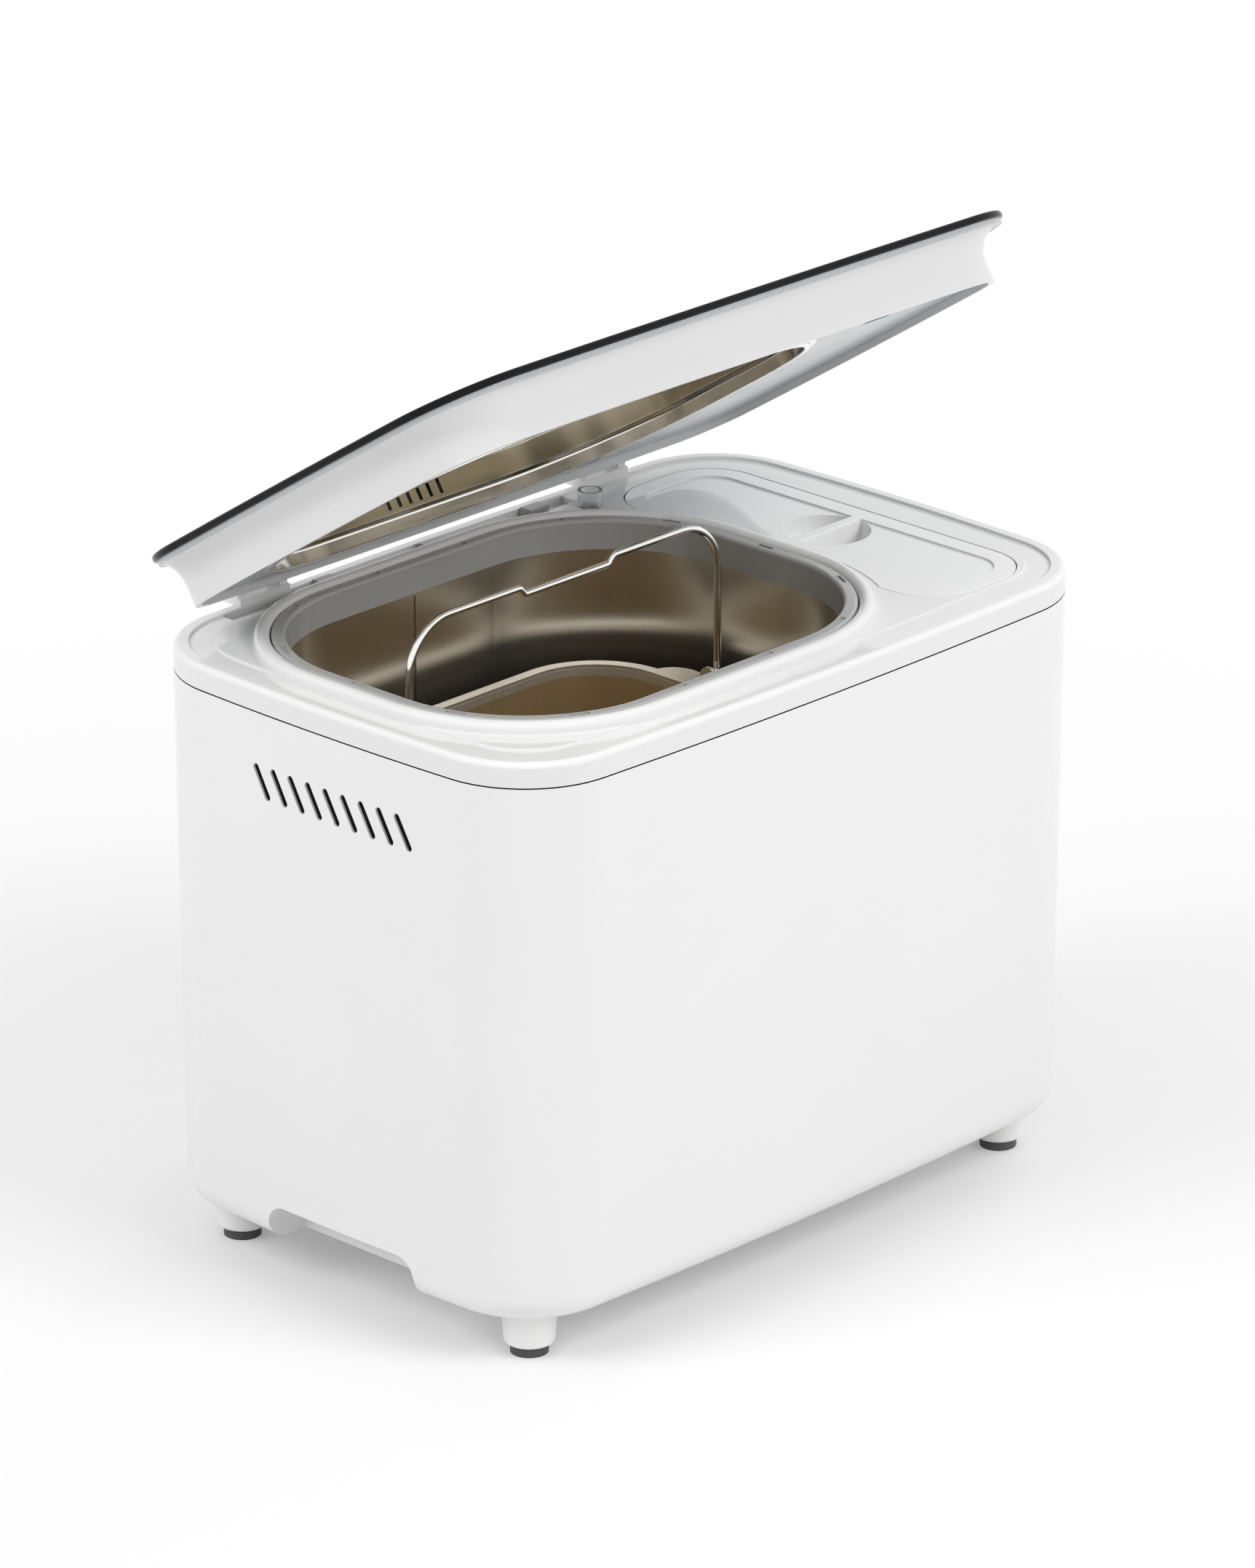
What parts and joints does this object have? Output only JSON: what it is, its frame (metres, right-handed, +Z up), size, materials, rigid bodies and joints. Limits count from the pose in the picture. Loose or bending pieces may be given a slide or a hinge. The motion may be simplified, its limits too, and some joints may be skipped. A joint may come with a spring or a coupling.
{
  "type": "bread machine",
  "caption": "Domestic bread machine: white rounded body, hinged lid, oven chamber, lift-out pan with bail handle, kneading paddle and belt drive.",
  "frame": {"origin": "on the floor, midway between the four foot pads", "axes": "+X along the long side away from the vented end, +Y towards the lid hinge, +Z up"},
  "size_m": [0.33, 0.2254, 0.3919],
  "materials": {
    "white_plastic": "satin",
    "foot_rubber": "matte",
    "grey_plastic": "satin",
    "clear_plastic": "clear",
    "stainless": "brushed",
    "pan_metal": "coated satin",
    "handle_wire": "polished",
    "plain_steel": "plain",
    "black_gloss": "gloss",
    "trim_plastic": "satin",
    "liner_plastic": "satin",
    "black_plastic": "matte",
    "belt_rubber": "matte",
    "motor_metal": "satin",
    "circuit_board": "satin",
    "bearing_brass": "plain",
    "paddle_metal": "coated satin",
    "heat_insulator": "matte"
  },
  "bodies": {
    "base": {"body_shell": "white_plastic", "base_plate": "white_plastic", "base_screws": "plain_steel", "feet": "white_plastic", "foot_pads": "foot_rubber", "foot_screws": "plain_steel", "top_deck": "white_plastic", "hinge_stops": "grey_plastic", "sensor_post": "clear_plastic", "chamber_collar": "grey_plastic", "oven_chamber": "stainless", "heating_element": "plain_steel", "heater_bushings": "heat_insulator", "heater_clips": "plain_steel", "temperature_probe": "plain_steel", "cord_gland": "black_plastic", "chassis_plate": "plain_steel", "chassis_posts": "plain_steel", "bearing_housing": "plain_steel", "bearing_bushes": "bearing_brass", "drive_belt": "belt_rubber", "motor_bracket": "plain_steel", "motor_case": "motor_metal", "motor_bolts": "plain_steel", "motor_capacitor": "black_plastic", "board_bracket": "plain_steel", "power_board": "circuit_board", "board_standoffs": "bearing_brass", "board_parts": "black_plastic", "storage_tub": "white_plastic", "pan_socket": "plain_steel", "hinge_brackets": "white_plastic", "hinge_pins": "plain_steel"},
    "lid": {"lid_frame": "white_plastic", "lid_trim": "trim_plastic", "lid_top_panel": "black_gloss", "lid_liner": "liner_plastic", "lid_dish": "stainless", "lid_screws": "plain_steel", "touch_board": "circuit_board"},
    "cover": {"storage_cover": "white_plastic"},
    "pan": {"bread_pan": "pan_metal", "pan_foot_ring": "plain_steel", "pan_ears": "plain_steel", "ear_rivets": "plain_steel", "pan_bush": "bearing_brass"},
    "handle": {"pan_handle": "handle_wire"},
    "paddle": {"pan_shaft": "plain_steel", "pan_wing": "plain_steel", "kneading_paddle": "paddle_metal"},
    "drive": {"drive_shaft": "plain_steel", "shaft_clip": "plain_steel", "large_pulley": "black_plastic", "drive_coupling": "plain_steel"},
    "rotor": {"motor_shaft": "plain_steel", "motor_pulley": "black_plastic"}
  },
  "joints": [
    {"name": "lid_hinge", "type": "hinge", "parent": "base", "child": "lid", "pos_m": [0, 0.108, 0.2602], "axis": [-1, 0, 0], "range_deg": [-32.85, 60]},
    {"name": "pan_lift", "type": "slide", "parent": "base", "child": "pan", "axis": [0, 0, 1], "range_m": [0, 0.06]},
    {"name": "handle_swing", "type": "hinge", "parent": "pan", "child": "handle", "pos_m": [-0.0326, 0, 0.2042], "axis": [1, 0, 0], "range_deg": [-80, 80]},
    {"name": "cover_lift", "type": "slide", "parent": "base", "child": "cover", "axis": [0, 0, 1], "range_m": [0, 0.01]},
    {"name": "drive_spin", "type": "hinge", "parent": "base", "child": "drive", "pos_m": [-0.0326, 0, 0.03], "axis": [0, 0, 1], "continuous": true},
    {"name": "paddle_spin", "type": "hinge", "parent": "pan", "child": "paddle", "pos_m": [-0.0326, 0, 0.07], "axis": [0, 0, 1], "continuous": true},
    {"name": "motor_spin", "type": "hinge", "parent": "base", "child": "rotor", "pos_m": [0.118, 0, 0.03], "axis": [0, 0, 1], "continuous": true}
  ],
  "couplings": [
    {"joint": "paddle_spin", "follows": "drive_spin", "ratio": 1},
    {"joint": "motor_spin", "follows": "drive_spin", "ratio": 5.75}
  ]
}
